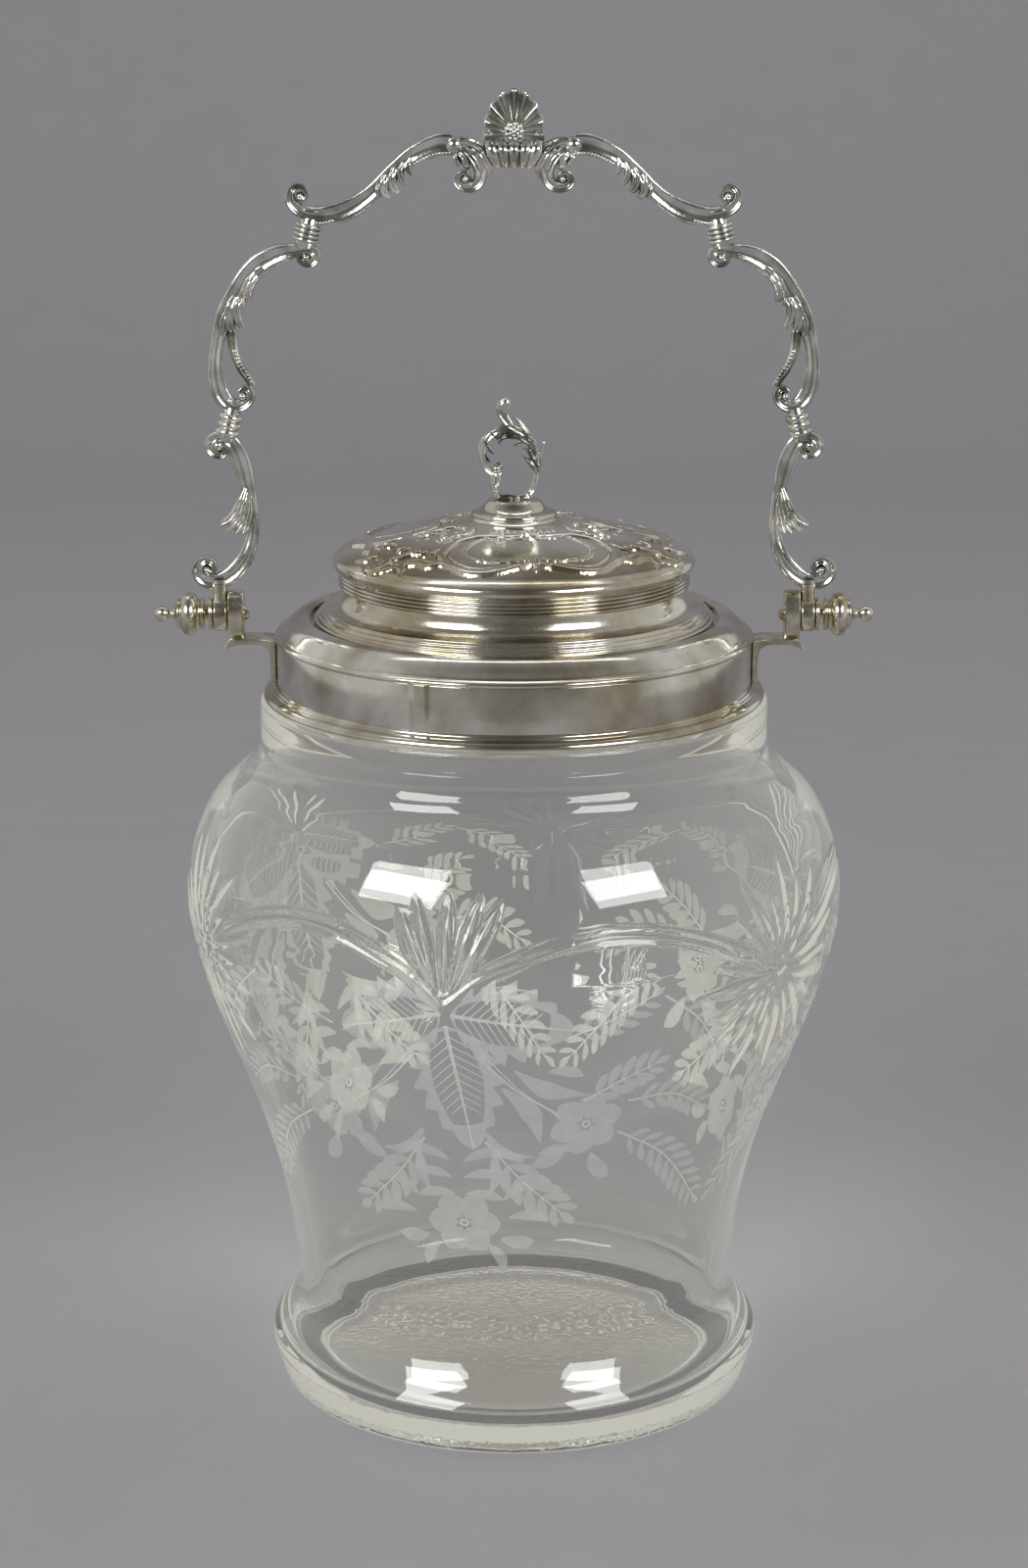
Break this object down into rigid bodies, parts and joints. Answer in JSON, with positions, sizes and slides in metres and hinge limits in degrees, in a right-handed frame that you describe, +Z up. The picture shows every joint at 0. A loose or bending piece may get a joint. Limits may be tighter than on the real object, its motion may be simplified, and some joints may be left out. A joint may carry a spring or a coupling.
{
  "type": "lidded glass jar",
  "caption": "Clear cut and engraved glass jar with a silver collar, a domed lift-off silver lid with an openwork finial, and a cast scrollwork swing handle.",
  "frame": {"origin": "centre of the foot, on the surface that the jar stands on", "axes": "+Z up along the jar's axis, +X along the handle's pivots to the right, -Y to the front"},
  "size_m": [0.1446, 0.133, 0.2635],
  "materials": {
    "clear_glass": "clear polished glass with cut stars and matte engraving",
    "polished_silver": "polished silver with a warm light tarnish",
    "cast_silver": "cast silver, bright on the high parts and blackened in the recesses",
    "worn_silver": "turned silver with a warm yellow tarnish",
    "plain_brass": "plain turned brass",
    "plaster": "dry plaster"
  },
  "bodies": {
    "jar": {"glass_jar": "clear_glass", "collar_cement": "plaster", "collar_band": "polished_silver", "collar_bead": "polished_silver", "collar_shoulder": "polished_silver", "left_bracket": "worn_silver", "left_bracket_ear": "worn_silver", "left_pivot_screw": "worn_silver", "left_washer": "worn_silver", "right_bracket": "worn_silver", "right_bracket_ear": "worn_silver", "right_pivot_screw": "worn_silver", "right_washer": "worn_silver"},
    "lid": {"lid_shell": "polished_silver", "lid_reeded_rim": "polished_silver", "lid_bezel": "polished_silver", "finial_boss": "polished_silver", "finial": "cast_silver", "finial_washer": "plain_brass", "finial_nut": "plain_brass"},
    "handle": {"crest_shell": "cast_silver", "crest_flowers": "cast_silver", "crest_calyx": "cast_silver", "left_top_arm": "cast_silver", "left_upper_ferrule": "cast_silver", "left_outer_arm": "cast_silver", "left_lower_ferrule": "cast_silver", "left_lower_arm": "cast_silver", "left_handle_eye": "worn_silver", "right_top_arm": "cast_silver", "right_upper_ferrule": "cast_silver", "right_outer_arm": "cast_silver", "right_lower_ferrule": "cast_silver", "right_lower_arm": "cast_silver", "right_handle_eye": "worn_silver"}
  },
  "joints": [
    {"name": "handle_swing", "type": "hinge", "parent": "jar", "child": "handle", "pos_m": [0, 0, 0.1601], "axis": [1, 0, 0], "range_deg": [-125, 125]},
    {"name": "lid_lift", "type": "slide", "parent": "jar", "child": "lid", "axis": [0, 0, 1], "range_m": [0, 0.035]}
  ]
}
